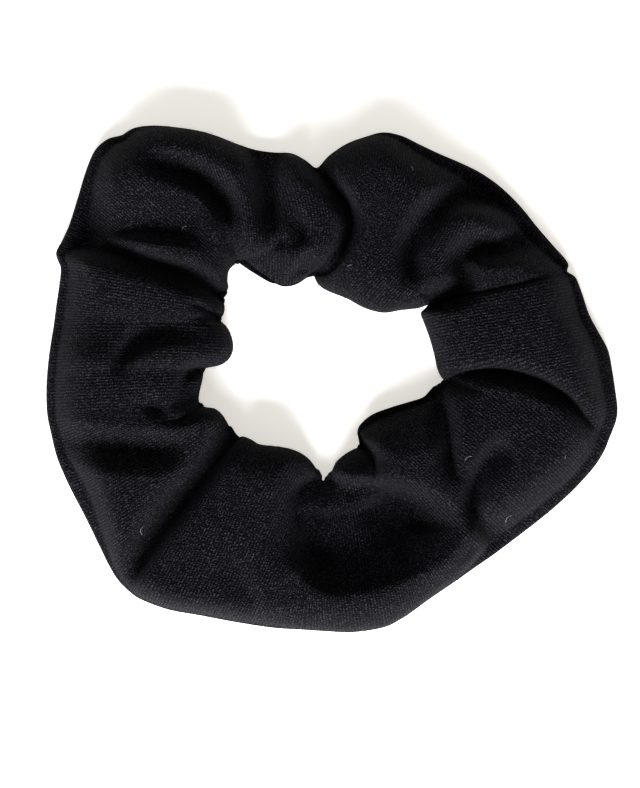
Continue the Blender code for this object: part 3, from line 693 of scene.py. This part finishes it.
def add_vectors(mesh, name, values):
    """A named vector on each point of a mesh."""
    held = mesh.attributes.new(name, "FLOAT_VECTOR", "POINT")
    held.data.foreach_set("vector", values.astype(np.float32).ravel())


def add_piece(name, data, finish=None):
    """A piece of that name from a mesh, a curve or a light, with its material where it has none yet."""
    obj = bpy.data.objects.new(name, data)
    if finish:
        data.materials.append(finish)
    bpy.context.scene.collection.objects.link(obj)
    return obj


def evaluated_mesh(obj):
    """The object's shape with its modifiers in it, as a new mesh."""
    graph = bpy.context.evaluated_depsgraph_get()
    return bpy.data.meshes.new_from_object(obj.evaluated_get(graph))


def apply_tree(obj, tree, **values):
    """Runs a geometry nodes tree on a piece, with its inputs by name, and keeps the result as its mesh."""
    modifier = obj.modifiers.new(tree.name, "NODES")
    modifier.node_group = tree
    for item in tree.interface.items_tree:
        key = item.name.lower().replace(" ", "_")
        if item.in_out == "INPUT" and key in values:
            modifier[item.identifier] = values[key]
    mesh, old = evaluated_mesh(obj), obj.data
    obj.modifiers.clear()
    obj.data = mesh
    bpy.data.meshes.remove(old)


def stretch_with_elastic(obj):
    """Bakes the piece's placement into its mesh."""
    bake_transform(obj)


# Materials


def node(tree, kind, links=(), **settings):
    """Adds a node, sets what is named on it, and links (output, input name) pairs into it."""
    made = tree.nodes.new(kind)
    for key, value in settings.items():
        if key in made.inputs:
            made.inputs[key].default_value = value
        else:
            setattr(made, key, value)
    for source, target in links:
        tree.links.new(source, made.inputs[target])
    return made


def new_material(name, **values):
    """A material, its tree and its shader, whose sockets take the values: base_color sets Base Color."""
    made = bpy.data.materials.new(name)
    made.use_nodes = True
    shader = made.node_tree.nodes["Principled BSDF"]
    for socket in shader.inputs:
        key = socket.name.lower().replace(" ", "_")
        if key in values:
            socket.default_value = values[key]
    return made, made.node_tree, shader


def add_bump(tree, shader, height, strength, distance):
    """Gives the shader a relief from a height. distance is the relief's own height, in metres."""
    bump = node(tree, "ShaderNodeBump", [(height, "Height")], Strength=strength, Distance=distance)
    tree.links.new(bump.outputs["Normal"], shader.inputs["Normal"])


def mix_base_colour(tree, shader, share, low, high, clamp):
    """The base colour goes from one colour to the other with the share."""
    mix = node(tree, "ShaderNodeMix", [(share, 0)], data_type="RGBA", clamp_factor=clamp)
    mix.inputs[6].default_value = linear(low)
    mix.inputs[7].default_value = linear(high)
    tree.links.new(mix.outputs[2], shader.inputs["Base Color"])


def maths(tree, operation, first, second=None):
    """One step of arithmetic on numbers or node outputs."""
    made = tree.nodes.new("ShaderNodeMath")
    made.operation = operation
    for k, value in enumerate((first, second)):
        if value is None:
            continue
        if isinstance(value, (int, float)):
            made.inputs[k].default_value = value
        else:
            tree.links.new(value, made.inputs[k])
    return made.outputs[0]


def jersey_material(settings):
    """Fine single jersey in black combed cotton: matt, with upright wales and a soft bloom of fibre ends."""
    made, tree, shader = new_material(
        "black_cotton_jersey", roughness=0.92, specular_ior_level=0.05, sheen_weight=settings.sheen,
        sheen_roughness=0.45, sheen_tint=linear("#8f8d9a"),
    )
    place = node(tree, "ShaderNodeAttribute", attribute_name="knit")
    rest = node(tree, "ShaderNodeAttribute", attribute_name="rest").outputs["Vector"]
    parts = node(tree, "ShaderNodeSeparateXYZ", [(place.outputs["Vector"], "Vector")])
    strip, cross = parts.outputs["X"], parts.outputs["Y"]
    # Wale: one column of loops. Each loop's two legs lean towards the wale's middle, as a row of Vs.
    turn = 2 * math.pi
    wale = maths(tree, "MULTIPLY", strip, turn / settings.wale_spacing)
    column = maths(tree, "COSINE", wale)
    leg = maths(tree, "ABSOLUTE", maths(tree, "SINE", maths(tree, "MULTIPLY", wale, 0.5)))
    lean = maths(tree, "MULTIPLY", leg, 2.6)
    course = maths(tree, "MULTIPLY", cross, turn / settings.course_spacing)
    loop = maths(tree, "COSINE", maths(tree, "ADD", course, lean))
    height = maths(tree, "ADD", maths(tree, "MULTIPLY", column, 1.5), maths(tree, "MULTIPLY", loop, 0.7))
    uneven = node(tree, "ShaderNodeTexNoise", [(rest, "Vector")], Scale=3.0, Detail=0.0)
    cloudy = node(tree, "ShaderNodeTexNoise", [(rest, "Vector")], Scale=0.35, Detail=2.0)
    # The yarn's thick and thin places, which outweigh the loops' own relief.
    yarn = maths(tree, "MULTIPLY", maths(tree, "SUBTRACT", uneven.outputs["Fac"], 0.5), 13.0)
    lumpy = maths(tree, "ADD", height, yarn)
    add_bump(tree, shader, lumpy, settings.knit_relief, 0.00014)
    # The raised loops catch the light, and the gaps between them stay black.
    raised = maths(tree, "MULTIPLY", maths(tree, "ADD", lumpy, 0.4), 0.42)
    shown = maths(tree, "POWER", maths(tree, "MINIMUM", maths(tree, "MAXIMUM", raised, 0.0), 2.2), 1.6)
    bloom = maths(tree, "ADD", maths(tree, "MULTIPLY", cloudy.outputs["Fac"], 0.8), 0.6)
    share = maths(tree, "MULTIPLY", shown, bloom)
    mix_base_colour(tree, shader, share, "#020203", settings.jersey_colour, clamp=False)
    return made


def elastic_material(settings):
    """Braided elastic: rubber cores under a polyester braid, a low gloss with ribs along its length."""
    made, tree, shader = new_material(
        "black_braided_elastic", base_color=linear(settings.elastic_colour), roughness=0.6
    )
    place = node(tree, "ShaderNodeAttribute", attribute_name="knit")
    parts = node(tree, "ShaderNodeSeparateXYZ", [(place.outputs["Vector"], "Vector")])
    rib = maths(tree, "COSINE", maths(tree, "MULTIPLY", parts.outputs["Y"], 2 * math.pi / 0.75))
    yarn = maths(tree, "COSINE", maths(tree, "MULTIPLY", parts.outputs["X"], 2 * math.pi / 0.5))
    height = maths(tree, "ADD", rib, maths(tree, "MULTIPLY", yarn, 0.4))
    add_bump(tree, shader, height, 0.6, 0.0002)
    return made


def thread_material(settings):
    """Spun polyester sewing thread, two plies, with a faint lustre."""
    made, tree, shader = new_material(
        "black_sewing_thread", base_color=linear(settings.thread_colour), roughness=0.55, sheen_weight=0.2
    )
    place = node(tree, "ShaderNodeTexCoord")
    fuzz = node(tree, "ShaderNodeTexNoise", [(place.outputs["Object"], "Vector")], Scale=9000.0, Detail=2.0)
    add_bump(tree, shader, fuzz.outputs["Fac"], 0.4, 0.00003)
    return made


def fibre_material(settings):
    """Loose cotton fibre ends: matt and a little lighter than the cloth, because light gets round them."""
    made, tree, shader = new_material("black_cotton_fibre", roughness=0.9)
    place = node(tree, "ShaderNodeTexCoord")
    cloud = node(tree, "ShaderNodeTexNoise", [(place.outputs["Object"], "Vector")], Scale=60.0, Detail=1.0)
    mix_base_colour(tree, shader, cloud.outputs["Fac"], "#0c0c0f", settings.fibre_colour, clamp=True)
    return made


def lint_material():
    """Pale cotton lint, matt."""
    return new_material("pale_lint", base_color=linear("#77777c"), roughness=0.8)[0]


def floor_material():
    """Warm white paper that glows a little, so that shadows on it stay pale."""
    return new_material(
        "pale_floor", base_color=linear("#f4f2ee"), roughness=0.9, emission_color=linear("#fff9f0"),
        emission_strength=0.56,
    )[0]


# Pieces


@functools.cache
def sleeve_grid():
    """The sleeve's outer surface as rows of points in mm, its ribs, and where each point lies on the flat
    strip: along it, and round the tube."""
    ribs = Ribs()
    grid = base_grid(ribs)
    strip = strip_coordinates(grid, ribs)
    press_folds(grid, ribs)
    gather_underside(grid, ribs)
    wrinkle(grid, ribs)
    relax(grid, ribs, SMOOTHING_ROUNDS)
    # The closing seam pulls the cloth in along one rib.
    out = outward_normals(grid)
    for rib, depth in SEAM_GROOVE:
        from_edge = np.linalg.norm(grid[rib][:, :2] - ribs.outer[rib], axis=1)
        grid[rib] -= out[rib] * (depth * smooth_step(from_edge / SEAM_GROOVE_FADE))[:, None]
    # The pressed line at the foot of the step on to the seam band.
    for point, depth in BAND_LINE:
        grid[:, POINTS_OVER + POINTS_STEP + point, 2] -= depth * np.clip(ribs.band - 1, 0, 1)
    grid[:, :, 2] -= grid[:, :, 2].min()
    cross = np.linalg.norm(np.roll(grid, -1, 1) - grid, axis=2)
    cross = np.concatenate([np.zeros((ribs.count, 1)), np.cumsum(cross, axis=1)[:, :-1]], axis=1)
    return grid, ribs, strip, cross


def seam_allowance(ribs):
    """The side seam's two plies inside the tube, as a closed ring of rows."""
    span = ribs.inner - ribs.outer
    way = span / np.linalg.norm(span, axis=1)[:, None]
    rows = []
    for inset, half in ALLOWANCE_SECTION:
        plan = ribs.outer + way * inset
        rows.append((plan, ALLOWANCE_MIDDLE + half))
        rows.insert(0, (plan, ALLOWANCE_MIDDLE - half))
    ring = [np.column_stack([plan, np.full(len(plan), height)]) for plan, height in rows]
    return np.stack(ring, axis=1)


def build_sleeve(settings):
    """One jersey sleeve: its outer face, its inner face and the side seam's turned-in plies."""
    grid, ribs, strip, cross = sleeve_grid()
    # The cloth's inner face is a second closed surface, with half as many points each way.
    lining = (grid - outward_normals(grid) * settings.cloth_thickness)[::2, ::2]
    allowance = seam_allowance(ribs)[::3]
    quads, spots = [], []
    for rows, inward in ((grid, False), (lining, True), (allowance, True)):
        quads.append(ring_of_quads(*rows.shape[:2], sum(len(part) for part in spots), inward))
        spots.append(rows.reshape(-1, 3))
    spots = np.concatenate(spots)
    mesh = new_mesh("jersey_sleeve", spots, np.concatenate(quads).tolist())
    mesh.shade_smooth()
    # The knit is laid out in the flat strip's own millimetres.
    outer_face = np.dstack([strip, cross, np.zeros_like(strip)])
    plies = np.zeros_like(allowance)
    plies[:, :, 0] = ribs.place[::3][:, None]
    plies[:, :, 1] = np.linspace(0, ALLOWANCE_ROUND, allowance.shape[1])
    flat = [part.reshape(-1, 3) for part in (outer_face, outer_face[::2, ::2], plies)]
    add_vectors(mesh, "knit", np.concatenate(flat))
    add_vectors(mesh, "rest", spots)
    sleeve = add_piece("jersey_sleeve", mesh, jersey_material(settings))
    stretch_with_elastic(sleeve)
    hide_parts("sleeve_front", "sleeve_back")


def elastic_path():
    """The elastic strip from end to end: its middle line, the direction across it and its face's normal.
    It goes once round, and then on along the outer face of its own beginning."""
    loop = elastic_line()
    full = lengths(loop)[-1]
    at = np.arange(0, full + ELASTIC_OVERLAP, ELASTIC_STEP)
    line = along(np.concatenate([loop, loop[1:]]), at, 3)
    way = np.gradient(line, axis=0)
    way /= np.linalg.norm(way, axis=1)[:, None]
    outward = np.column_stack([way[:, 1], -way[:, 0], np.zeros(len(way))])
    up = np.array([0.0, 0.0, 1.0])
    across = outward * math.sin(ELASTIC_LEAN) + up * math.cos(ELASTIC_LEAN)
    face = outward * math.cos(ELASTIC_LEAN) - up * math.sin(ELASTIC_LEAN)
    lift = PLY_PITCH * smooth_step((at - (full - ELASTIC_RAMP)) / ELASTIC_RAMP)
    line = line + up * ELASTIC_MIDDLE + face * lift[:, None]
    return line, across, face, at


def elastic_section():
    """The elastic's section as points of (across, out of its face), with round corners."""
    half, thick = ELASTIC_WIDTH / 2, ELASTIC_THICKNESS / 2
    section = []
    for side, top in ((1, 1), (-1, 1), (-1, -1), (1, -1)):
        turns = np.linspace(0, math.pi / 2, 4)
        for turn in turns if side == top else turns[::-1]:
            over = half - ELASTIC_CORNER + ELASTIC_CORNER * math.cos(turn)
            out = thick - ELASTIC_CORNER + ELASTIC_CORNER * math.sin(turn)
            section.append((side * over, top * out))
        if side == top:
            section += [(side * half * k, top * thick) for k in (0.5, 0.0, -0.5)]
    return np.array(section)


def build_elastic(settings):
    """The loop of flat elastic, one strip whose ends lie over each other."""
    line, across, face, at = elastic_path()
    section = elastic_section()
    rows = line[:, None] + across[:, None] * section[None, :, :1] + face[:, None] * section[None, :, 1:]
    count = len(section)
    quads = ring_of_quads(len(rows), count, 0, inward=False)[:-count].tolist()
    ends = [list(range(count))[::-1], list(range((len(rows) - 1) * count, len(rows) * count))]
    mesh = new_mesh("elastic_loop", rows, quads + ends)
    mesh.shade_smooth()
    flat = np.zeros_like(rows)
    flat[:, :, 0] = at[:, None]
    flat[:, :, 1] = section[:, 0]
    add_vectors(mesh, "knit", flat)
    elastic = add_piece("elastic_loop", mesh, elastic_material(settings))
    stretch_with_elastic(elastic)
    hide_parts("elastic_band")


def new_tree(name, takes, gives, **inputs):
    """A geometry nodes tree and what its named inputs give: ply_radius makes the input Ply radius."""
    tree = bpy.data.node_groups.new(name, "GeometryNodeTree")
    sockets = tree.interface
    sockets.new_socket(takes, in_out="INPUT", socket_type="NodeSocketGeometry")
    for key, value in inputs.items():
        kind = "NodeSocketInt" if isinstance(value, int) else "NodeSocketFloat"
        label = key.capitalize().replace("_", " ")
        sockets.new_socket(label, in_out="INPUT", socket_type=kind).default_value = value
    sockets.new_socket(gives, in_out="OUTPUT", socket_type="NodeSocketGeometry")
    return tree, node(tree, "NodeGroupInput").outputs


def swept(tree, curve, profile):
    """A profile swept along a curve, closed at both ends."""
    links = [(curve.outputs[0], "Curve"), (profile.outputs[0], "Profile Curve")]
    return node(tree, "GeometryNodeCurveToMesh", links, **{"Fill Caps": True})


def end_tree(tree, shape, finish):
    """Makes the instances real, gives them their material and hands them out."""
    real = node(tree, "GeometryNodeRealizeInstances", [(shape.outputs[0], "Geometry")])
    finished = node(tree, "GeometryNodeSetMaterial", [(real.outputs[0], "Geometry")], Material=finish)
    node(tree, "NodeGroupOutput", [(finished.outputs[0], 0)])


def thread_tree(finish):
    """Geometry nodes that lay a two-ply sewing thread along a line: it dips into the cloth once a stitch."""
    tree, given = new_tree(
        "sewing_thread", "Line", "Thread", stitch=0.0034, rise=0.0002, ply_radius=0.00007, twist=0.0012
    )
    curve = node(tree, "GeometryNodeMeshToCurve", [(given["Line"], "Mesh")])
    links = [(curve.outputs[0], "Curve")]
    fine = node(tree, "GeometryNodeResampleCurve", links, mode="LENGTH", Length=0.00022)
    far = node(tree, "GeometryNodeSplineParameter").outputs["Length"]
    lift = node(tree, "GeometryNodeInputNamedAttribute", data_type="FLOAT_VECTOR", Name="lift")
    turns = maths(tree, "MULTIPLY", maths(tree, "DIVIDE", far, given["Stitch"]), 2 * math.pi)
    wave = maths(tree, "MULTIPLY", maths(tree, "COSINE", turns), given["Rise"])
    offset = node(tree, "ShaderNodeVectorMath", [(lift.outputs[0], 0), (wave, "Scale")], operation="SCALE")
    spots = [(fine.outputs[0], "Geometry"), (offset.outputs[0], "Offset")]
    waved = node(tree, "GeometryNodeSetPosition", spots)
    twist = maths(tree, "MULTIPLY", maths(tree, "DIVIDE", far, given["Twist"]), 2 * math.pi)
    tilted = node(tree, "GeometryNodeSetCurveTilt", [(waved.outputs[0], "Curve"), (twist, "Tilt")])
    ply = node(tree, "GeometryNodeCurvePrimitiveCircle", [(given["Ply radius"], "Radius")], Resolution=6)
    plies = node(tree, "GeometryNodeJoinGeometry")
    for side in (-1.03, 1.03):  # just clear of each other
        aside = maths(tree, "MULTIPLY", given["Ply radius"], side)
        place = node(tree, "ShaderNodeCombineXYZ", [(aside, "X")])
        links = [(ply.outputs[0], "Geometry"), (place.outputs[0], "Translation")]
        tree.links.new(node(tree, "GeometryNodeTransform", links).outputs[0], plies.inputs[0])
    end_tree(tree, swept(tree, tilted, plies), finish)
    return tree


def sewn_thread(tree, seam, side, line, lift):
    """A seam's needle or bobbin thread along points in mm. lift is the way out of the cloth at each."""
    name = f"{seam}_{side}_stitches"
    mesh = new_mesh(name, line, [], [(i, i + 1) for i in range(len(line) - 1)])
    add_vectors(mesh, "lift", lift)
    thread = add_piece(name, mesh)
    stitch, rise = STITCHES[seam]
    apply_tree(thread, tree, stitch=stitch, rise=rise)
    thread.data.shade_smooth()
    stretch_with_elastic(thread)
    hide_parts(f"{seam}_{side}_thread")


def build_seam_threads(settings):
    """The needle and bobbin threads of the side seam, the closing seam and the elastic's join."""
    tree = thread_tree(thread_material(settings))
    grid, ribs, _, _ = sleeve_grid()
    up = np.array([[0.0, 0.0, 1.0]])
    # Side seam: its two threads lie on the two faces of the seam's plies.
    span = ribs.inner - ribs.outer
    edge = ribs.outer + span / np.linalg.norm(span, axis=1)[:, None] * SEAM_INSET
    edge = np.column_stack([edge, np.full(len(edge), ALLOWANCE_MIDDLE)])
    at = np.arange(CLOSING_MARGIN, lengths(edge)[-1] - CLOSING_MARGIN, THREAD_STEP)
    line = along(edge, at, 3)
    reach = (ALLOWANCE_PLY + THREAD_CLEARANCE) * up
    for name, side in (("needle", 1), ("bobbin", -1)):
        sewn_thread(tree, "side_seam", name, line + reach * side, np.repeat(up * side, len(line), 0))
    # Closing seam: the threads follow the tube's section just inside the cloth.
    row = int(np.searchsorted(ribs.place, ribs.total - CLOSING_SETBACK))
    open_part = np.r_[CLEAR_OF_INNER : TOP - CLEAR_OF_OUTER, TOP + CLEAR_OF_OUTER : grid.shape[1] - 2]
    ring = grid[row][open_part]
    inward = -outward_normals(grid)[row][open_part]
    for _ in range(6):
        inward[1:-1] = (inward[:-2] + 2 * inward[1:-1] + inward[2:]) / 4
    for name, depth in CLOSING_DEPTHS.items():
        sewn_thread(tree, "closing_seam", name, ring + inward * depth, inward)
    # The zigzag over the elastic's overlap: one thread on each of its faces.
    line, across, face, at = elastic_path()
    marks = np.linspace(ZIGZAG_MARGIN, ELASTIC_OVERLAP - ZIGZAG_MARGIN, ZIGZAG_POINTS)
    spots = along(line, marks, 3)
    way = along(across, np.interp(marks, at, lengths(across, 3)), 3)
    out = along(face, np.interp(marks, at, lengths(face, 3)), 3)
    swing = np.where(np.arange(ZIGZAG_POINTS) % 2, 1, -1)[:, None] * ZIGZAG_WIDTH / 2
    lying = ELASTIC_THICKNESS / 2 + THREAD_CLEARANCE
    for name, offset in (("needle", lying + PLY_PITCH), ("bobbin", -lying)):
        sewn_thread(tree, "elastic_join", name, spots + way * swing + out * offset, out)


def fibre_tree(finish):
    """Geometry nodes that set short curved fibres on a surface, lying every way."""
    tree, given = new_tree(
        "loose_fibres", "Surface", "Fibres", density=250000.0, length=0.0011, radius=0.000016, seed=3
    )
    links = [(given["Surface"], "Mesh"), (given["Density"], "Density"), (given["Seed"], "Seed")]
    spots = node(tree, "GeometryNodeDistributePointsOnFaces", links)
    bends = []
    for name, x, z in (("Start", -0.5, 0.0), ("Middle", 0.0, 0.45), ("End", 0.5, 0.12)):
        links = [(maths(tree, "MULTIPLY", given["Length"], far), axis) for far, axis in ((x, "X"), (z, "Z"))]
        bends.append((node(tree, "ShaderNodeCombineXYZ", links).outputs[0], name))
    arc = node(tree, "GeometryNodeCurveQuadraticBezier", bends, Resolution=3)
    round_way = node(tree, "GeometryNodeCurvePrimitiveCircle", [(given["Radius"], "Radius")], Resolution=3)
    fibre = swept(tree, arc, round_way)
    spin = node(tree, "FunctionNodeRandomValue", data_type="FLOAT_VECTOR", Seed=5)
    spin.inputs["Min"].default_value = (-0.25, -0.25, 0.0)
    spin.inputs["Max"].default_value = (0.25, 0.25, 2 * math.pi)
    links = [(spots.outputs["Rotation"], "Rotation"), (spin.outputs["Value"], "Rotate By")]
    turned = node(tree, "FunctionNodeRotateRotation", links, rotation_space="LOCAL")
    size = node(tree, "FunctionNodeRandomValue", data_type="FLOAT", Seed=8)
    size.inputs[2].default_value, size.inputs[3].default_value = 0.5, 1.4
    links = [(spots.outputs["Points"], "Points"), (fibre.outputs[0], "Instance"),
             (turned.outputs[0], "Rotation"), (size.outputs[1], "Scale")]
    end_tree(tree, node(tree, "GeometryNodeInstanceOnPoints", links), finish)
    return tree


def build_fibres(settings):
    """Loose cotton ends over the cloth's outer face, except where it lies on its gathers."""
    grid, _, _, _ = sleeve_grid()
    shell = grid[::4, 2::4] + outward_normals(grid)[::4, 2::4] * FIBRE_LIFT
    quads = ring_of_quads(*shell.shape[:2], 0, inward=False)
    clear = shell.reshape(-1, 3)[quads][:, :, 2].min(axis=1) > FIBRE_FLOOR
    fibres = add_piece("loose_fibres", new_mesh("loose_fibres", shell, quads[clear].tolist()))
    apply_tree(fibres, fibre_tree(fibre_material(settings)), density=settings.fibre_density * 10000.0)
    stretch_with_elastic(fibres)


def build_lint():
    """The few pale fibres that the cloth has picked up."""
    grid, _, _, _ = sleeve_grid()
    top = grid[:, CLEAR_OF_INNER : TOP - CLEAR_OF_OUTER].reshape(-1, 3)
    curve = bpy.data.curves.new("pale_lint", "CURVE")
    curve.dimensions = "3D"
    curve.bevel_depth = LINT_RADIUS * MM
    curve.bevel_resolution = 1
    curve.use_fill_caps = True
    for x, y, way, length, bend in LINT:
        turn = math.radians(way)
        line = curve.splines.new("POLY")
        line.points.add(LINT_STEPS)
        for k, point in enumerate(line.points):
            t = k / LINT_STEPS * 2 - 1
            arch = 1 - t * t
            far, off = t * length / 2, bend * arch
            spot = np.array([far * math.cos(turn) - off * math.sin(turn),
                             far * math.sin(turn) + off * math.cos(turn)]) + (x, y) - CENTRE
            near = np.argsort(np.linalg.norm(top[:, :2] - spot, axis=1))[:6]
            point.co = (*(spot * MM), (top[near, 2].max() + 0.06 + 0.12 * arch) * MM, 1)
    drawn = add_piece("lint_lines", curve, lint_material())
    lint = add_piece("pale_lint", evaluated_mesh(drawn))
    bpy.data.objects.remove(drawn)
    stretch_with_elastic(lint)


def build_stage(settings):
    """The floor, one large soft light from the front, even light all round, and the camera straight above."""
    half = FLOOR_HALF
    corners = np.array([(-half, -half, 0), (half, -half, 0), (half, half, 0), (-half, half, 0)]) / MM
    floor = add_piece("floor", new_mesh("floor", corners, [(0, 1, 2, 3)]), floor_material())
    floor.location.z = CAD_LOW.z - FLOOR_GAP

    light = bpy.data.lights.new("key_softbox", "AREA")
    light.shape = "RECTANGLE"
    light.size, light.size_y = KEY_SIZE
    light.energy = settings.key_power
    light.color = linear("#f8f9ff")[:3]
    lamp = add_piece("key_softbox", light)
    lamp.location = KEY_PLACE
    aim = (CAD_LOW + CAD_HIGH) / 2 - Vector(KEY_PLACE)
    lamp.rotation_euler = aim.to_track_quat("-Z", "Y").to_euler()

    world = bpy.data.worlds.new("studio")
    world.use_nodes = True
    sky = world.node_tree.nodes["Background"]
    sky.inputs["Color"].default_value = linear("#f4f5f8")
    sky.inputs["Strength"].default_value = settings.sky_strength
    bpy.context.scene.world = world
    bpy.context.scene.view_settings.view_transform = "Standard"

    camera = bpy.data.cameras.new("camera")
    camera.sensor_width = 36.0
    camera.lens = camera.sensor_width * settings.camera_height / VIEW_HEIGHT
    stand = add_piece("camera", camera)
    stand.location = (*VIEW_CENTRE, settings.camera_height)
    bpy.context.scene.camera = stand


class ScrunchieSettings(bpy.types.PropertyGroup):
    wale_spacing: FloatProperty(
        name="Wale spacing", description="Distance between the knit's columns, in mm", default=0.69, min=0.2
    )
    course_spacing: FloatProperty(
        name="Course spacing", description="Distance between the knit's rows, in mm", default=0.52, min=0.2
    )
    knit_relief: FloatProperty(
        name="Knit relief", description="Strength of the knit's relief", default=0.55, min=0.0, max=1.0
    )
    cloth_thickness: FloatProperty(
        name="Cloth thickness", description="Thickness of the jersey, in mm", default=0.5, min=0.2, max=1.0
    )
    jersey_colour: StringProperty(
        name="Jersey colour", description="The raised loops' colour, as sRGB hex", default="#161519"
    )
    sheen: FloatProperty(
        name="Sheen", description="Bloom of the jersey's fibre ends", default=0.04, min=0.0, max=1.0
    )
    elastic_colour: StringProperty(
        name="Elastic colour", description="The elastic's colour, as sRGB hex", default="#121214"
    )
    thread_colour: StringProperty(
        name="Thread colour", description="The sewing thread's colour, as sRGB hex", default="#0e0e11"
    )
    fibre_colour: StringProperty(
        name="Fibre colour", description="The loose fibres' colour, as sRGB hex", default="#131318"
    )
    fibre_density: FloatProperty(
        name="Fibre density", description="Loose fibres on each square centimetre", default=25.0, min=0.0
    )
    key_power: FloatProperty(
        name="Key light", description="Power of the soft key light", default=23.5, min=0.0, unit="POWER"
    )
    sky_strength: FloatProperty(
        name="Room light", description="Strength of the even light all round", default=0.38, min=0.0
    )
    camera_height: FloatProperty(
        name="Camera height", description="Height of the camera above the floor", default=0.55, unit="LENGTH"
    )


class SCRUNCHIE_OT_sleeve(bpy.types.Operator):
    """Build the gathered jersey sleeve"""

    bl_idname = "scrunchie.sleeve"
    bl_label = "Sleeve"

    def execute(self, context):
        build_sleeve(context.scene.scrunchie)
        return {"FINISHED"}


class SCRUNCHIE_OT_elastic(bpy.types.Operator):
    """Build the loop of flat elastic inside the sleeve"""

    bl_idname = "scrunchie.elastic"
    bl_label = "Elastic"

    def execute(self, context):
        build_elastic(context.scene.scrunchie)
        return {"FINISHED"}


class SCRUNCHIE_OT_threads(bpy.types.Operator):
    """Sew the side seam, the closing seam and the elastic's join"""

    bl_idname = "scrunchie.threads"
    bl_label = "Sewing threads"

    def execute(self, context):
        build_seam_threads(context.scene.scrunchie)
        return {"FINISHED"}


class SCRUNCHIE_OT_fibres(bpy.types.Operator):
    """Set the loose fibre ends and the lint on the cloth"""

    bl_idname = "scrunchie.fibres"
    bl_label = "Loose fibres"

    def execute(self, context):
        build_fibres(context.scene.scrunchie)
        build_lint()
        return {"FINISHED"}


class SCRUNCHIE_OT_stage(bpy.types.Operator):
    """Set up the floor, the lights and the camera"""

    bl_idname = "scrunchie.stage"
    bl_label = "Stage"

    def execute(self, context):
        build_stage(context.scene.scrunchie)
        return {"FINISHED"}


OPERATORS = (
    SCRUNCHIE_OT_stage, SCRUNCHIE_OT_sleeve, SCRUNCHIE_OT_elastic, SCRUNCHIE_OT_threads, SCRUNCHIE_OT_fibres,
)


class SCRUNCHIE_PT_panel(bpy.types.Panel):
    bl_label = "Scrunchie"
    bl_idname = "SCRUNCHIE_PT_panel"
    bl_space_type = "VIEW_3D"
    bl_region_type = "UI"
    bl_category = "Scrunchie"

    def draw(self, context):
        settings = context.scene.scrunchie
        for name in settings.bl_rna.properties.keys():
            if name not in {"rna_type", "name"}:
                self.layout.prop(settings, name)
        for operator in OPERATORS:
            self.layout.operator(operator.bl_idname)


CLASSES = (ScrunchieSettings, *OPERATORS, SCRUNCHIE_PT_panel)


def register():
    for cls in CLASSES:
        bpy.utils.register_class(cls)
    bpy.types.Scene.scrunchie = PointerProperty(type=ScrunchieSettings)


def unregister():
    del bpy.types.Scene.scrunchie
    for cls in reversed(CLASSES):
        bpy.utils.unregister_class(cls)


def main():
    register()
    bpy.ops.scrunchie.stage()
    bpy.ops.scrunchie.sleeve()
    bpy.ops.scrunchie.elastic()
    bpy.ops.scrunchie.threads()
    bpy.ops.scrunchie.fibres()


if __name__ == "__main__":
    main()
